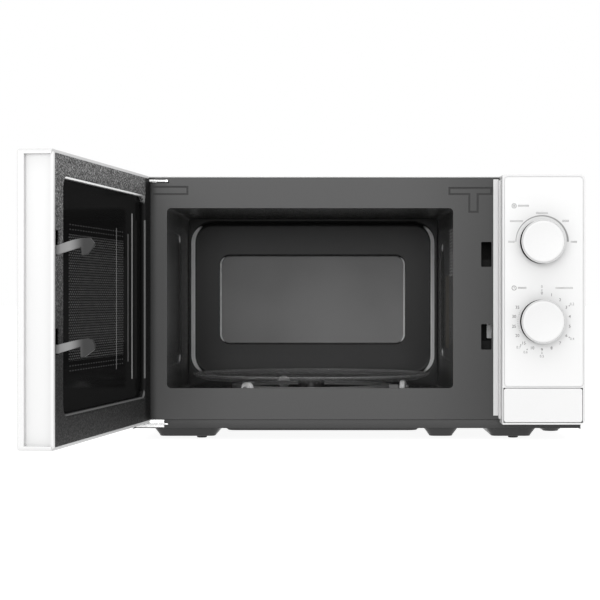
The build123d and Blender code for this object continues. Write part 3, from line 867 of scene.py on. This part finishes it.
def makeTray():
    size = tray
    outer, low, top = size["radius"], size["under"], size["rim"]
    ring = []
    for count in range(9):
        turn = math.pi * count / 8
        ring.append((outer - 1.0 + math.cos(turn), top - 1.0 + math.sin(turn)))
    outline = [(0, low), (86, low), (87, low + 0.3), (outer - 12, low + 0.3), (outer - 3, low + 3.4)]
    outline += ring
    outline += [(outer - 4.5, top - 2.2), (outer - 13.5, low + size["thick"]), (90, low + size["thick"])]
    outline += [(88, low + size["thick"] - 0.8), (0, low + size["thick"] - 0.8)]
    mesh = spun(outline, 96)
    mesh.transform(Matrix.Translation((size["x"], size["y"], 0)))
    asPiece("glassTray", mesh, "turntable_tray", finishes["tray_glass"], crease=50)


def makeRoller(number, angle):
    size = roller
    half = size["width"] / 2
    tread = size["radius"]
    outline = [
        (1.56, -half + 0.9), (2.8, -half + 0.9), (2.8, -half + 0.2), (3.6, -half + 0.2), (3.6, -half + 1.1),
        (tread - 1.5, -half + 1.1), (tread - 1.1, -half), (tread - 0.4, -half), (tread, -half + 0.5),
    ]
    outline += [(radius, -height) for radius, height in reversed(outline)]
    outline.append(outline[0])
    mesh = spun(outline, 40)
    mesh.transform(Matrix.Translation((size["circle"], 0, 0)) @ Matrix.Rotation(math.pi / 2, 4, "Y"))
    mesh.transform(Matrix.Rotation(math.radians(angle), 4, "Z"))
    mesh.transform(Matrix.Translation((tray["x"], tray["y"], size["height"])))
    asPiece(f"roller{number}", mesh, f"roller_{number}", special["roller"])


makeTray()
for number, angle in enumerate(roller["angles"], 1):
    makeRoller(number, angle)
print("turntable ready")


# Knobs: a cap with a faintly dished face, and the plated ring round it

knobs = {
    "x": 178.0, "heights": {"power": 194.0, "timer": 117.0}, "cap": 20.2, "ring": 21.2, "face": -194.5,
    "dish": 0.5, "ringFront": -193.6, "ringBack": -179.6, "capBack": -180.5,
}


def makeKnob(name, height):
    size = knobs
    radius = size["cap"]
    deep = size["capBack"] - size["face"]
    outline = [(0, -size["dish"]), (radius * 0.5, -size["dish"] * 0.8), (radius * 0.86, -0.1)]
    for count in range(7):
        turn = math.pi / 2 * count / 6
        outline.append((radius - 1.2 + 1.2 * math.sin(turn), -1.2 + 1.2 * math.cos(turn)))
    outline += [(radius, -deep), (0, -deep)]
    place = Matrix.Translation((size["x"], size["face"], height)) @ Matrix.Rotation(math.pi / 2, 4, "X")
    cap = spun(outline)
    cap.transform(place)
    asPiece(name + "Cap", cap, name + "_knob", finishes["knob_plastic"])
    front = size["face"] - size["ringFront"]
    back = size["face"] - size["ringBack"]
    edge = size["ring"]
    ring = spun([
        (radius + 0.1, back), (radius + 0.1, front), (edge - 0.4, front), (edge, front - 0.4), (edge, back),
        (radius + 0.1, back),
    ])
    ring.transform(place)
    asPiece(name + "Ring", ring, name + "_knob_ring", finishes["chrome_trim"])


for name, height in knobs["heights"].items():
    makeKnob(name, height)
print("knobs ready")


# Prints on the panel: the power arc, the timer's numbers, and rows of strokes where words would be

prints = {
    "face": -178.54, "arcRadius": 25.1, "arcThin": 0.5, "arcThick": 1.9, "number": 4.1, "numberRadius": 27.3,
    "outerRadius": 33.6, "bulletRadius": 30.4, "bullet": 0.5, "stroke": 0.4, "pitch": 1.05,
}
minutes = list(range(11)) + [15, 20, 25, 30, 35]
weights = ((0, "0"), (60, "0.2"), (120, "0.4"), (180, "0.5"), (208, "0.6"), (222, "0.7"))
# The middle, height and width of each row of strokes that stands for a word
darkWords = ((160.3, 228.7, 11.0), (200.9, 214.1, 7.2), (208.8, 193.9, 6.6), (158.9, 149.5, 9.0))
paleWords = ((178.0, 221.7, 12.0), (153.4, 213.9, 13.0), (148.6, 194.0, 6.4), (199.5, 149.4, 17.0))
panelTicks = {"count": 13, "start": 244, "sweep": 52, "radius": 23.2, "width": 0.3, "length": 1.0}
# Each of the clock's hands is a width, a length and its middle
panelIcons = {
    "x": 151.2, "cross": 228.6, "clock": 149.4, "outer": 2.3, "inner": 1.85, "stroke": 0.35, "arm": 2.6,
    "hands": ((0.35, 1.5, 151.2, 150.1), (1.2, 0.35, 151.8, 149.3)),
}


def onPanel(mesh, x, z, turn=0):
    # Lays a flat mesh drawn in XY on the panel, with its middle at x, z
    place = Matrix.Translation((x, prints["face"], z)) @ Matrix.Rotation(math.pi / 2, 4, "X")
    mesh.transform(place @ Matrix.Rotation(math.radians(turn), 4, "Z"))
    return mesh


def joined(meshes):
    whole = bmesh.new()
    for mesh in meshes:
        spare = bpy.data.meshes.new("spare")
        mesh.to_mesh(spare)
        mesh.free()
        whole.from_mesh(spare)
        bpy.data.meshes.remove(spare)
    return whole


def numeral(text, size):
    # The outline of a short number as a flat mesh in XY, centred
    words = bpy.data.curves.new("numeral", "FONT")
    words.body = text
    words.size = size
    words.align_x, words.align_y = "CENTER", "CENTER"
    words.resolution_u = 3
    thing = link(bpy.data.objects.new("numeral", words))
    flat = bpy.data.meshes.new_from_object(thing)
    mesh = bmesh.new()
    mesh.from_mesh(flat)
    bpy.data.objects.remove(thing)
    bpy.data.meshes.remove(flat)
    return mesh


def bar(width, height):
    mesh = bmesh.new()
    place = Matrix.Diagonal((width / 2, height / 2, 1, 1))
    bmesh.ops.create_grid(mesh, x_segments=1, y_segments=1, size=1, matrix=place)
    return mesh


def wordMark(width, height=1.9):
    # A row of short upright strokes, in the place of a word
    count = int(width / prints["pitch"])
    strokes = []
    for number in range(count):
        stroke = bar(prints["stroke"], height)
        stroke.transform(Matrix.Translation(((number - (count - 1) / 2) * prints["pitch"], 0, 0)))
        strokes.append(stroke)
    return joined(strokes)


def disc(radius, inner=0.0, segments=32):
    mesh = bmesh.new()
    bmesh.ops.create_circle(mesh, cap_ends=True, radius=radius, segments=segments)
    if inner:
        face = mesh.faces[:][0]
        bmesh.ops.inset_region(
            mesh, faces=[face], thickness=radius - inner, use_boundary=True, use_even_offset=True
        )
        bmesh.ops.delete(mesh, geom=[face], context="FACES")
    return mesh


def powerArc():
    # A half ring that grows thicker clockwise from nine o'clock
    mesh = bmesh.new()
    size = prints
    steps = 48
    line = []
    for count in range(steps + 1):
        turn = math.pi * (1 - count / steps)
        half = (size["arcThin"] + (size["arcThick"] - size["arcThin"]) * count / steps) / 2
        pair = [
            mesh.verts.new((reach * math.cos(turn), reach * math.sin(turn), 0))
            for reach in (size["arcRadius"] - half, size["arcRadius"] + half)
        ]
        line.append(mesh.edges.new(pair))
    for first, second in zip(line, line[1:]):
        bmesh.ops.bridge_loops(mesh, edges=[first, second])
    return mesh


def onCircle(middleX, middleZ, radius, turn):
    # A point on a circle, clockwise from the top
    angle = math.radians(turn)
    return middleX + radius * math.sin(angle), middleZ + radius * math.cos(angle)


def makePrints():
    size = prints
    x = knobs["x"]
    power, timer = knobs["heights"]["power"], knobs["heights"]["timer"]
    arc = onPanel(powerArc(), x, power)
    dark, pale = [], []
    for count, value in enumerate(minutes):
        px, pz = onCircle(x, timer, size["numberRadius"], 20 * count)
        dark.append(onPanel(numeral(str(value), size["number"]), px, pz))
    for turn, value in weights:
        px, pz = onCircle(x, timer, size["outerRadius"], turn)
        pale.append(onPanel(numeral(value, size["number"] * 0.85), px, pz))
        px, pz = onCircle(x, timer, size["bulletRadius"], turn)
        dark.append(onPanel(disc(size["bullet"], segments=12), px, pz))
    for count in range(panelTicks["count"]):
        turn = panelTicks["start"] + panelTicks["sweep"] * count / (panelTicks["count"] - 1)
        px, pz = onCircle(x, timer, panelTicks["radius"], turn)
        pale.append(onPanel(bar(panelTicks["width"], panelTicks["length"]), px, pz, -turn))
    # Two round icons, one with a cross and one with a clock's hands
    icon = panelIcons
    for height in (icon["cross"], icon["clock"]):
        dark.append(onPanel(disc(icon["outer"], icon["inner"]), icon["x"], height))
    for turn in (45, -45):
        dark.append(onPanel(bar(icon["stroke"], icon["arm"]), icon["x"], icon["cross"], turn))
    for width, length, middle, height in icon["hands"]:
        dark.append(onPanel(bar(width, length), middle, height))
    for middle, height, width in darkWords:
        dark.append(onPanel(wordMark(width), middle, height))
    for middle, height, width in paleWords:
        pale.append(onPanel(wordMark(width), middle, height))
    for name, marks, ink in (
        ("panelPrint", dark, "print"), ("panelPalePrint", pale, "palePrint"), ("powerArc", [arc], "arc"),
    ):
        piece = asPiece(name, joined(marks), "panel_fascia", special[ink], stands=False)
        thicken(piece, 0.03)


makePrints()
print("panel prints ready")
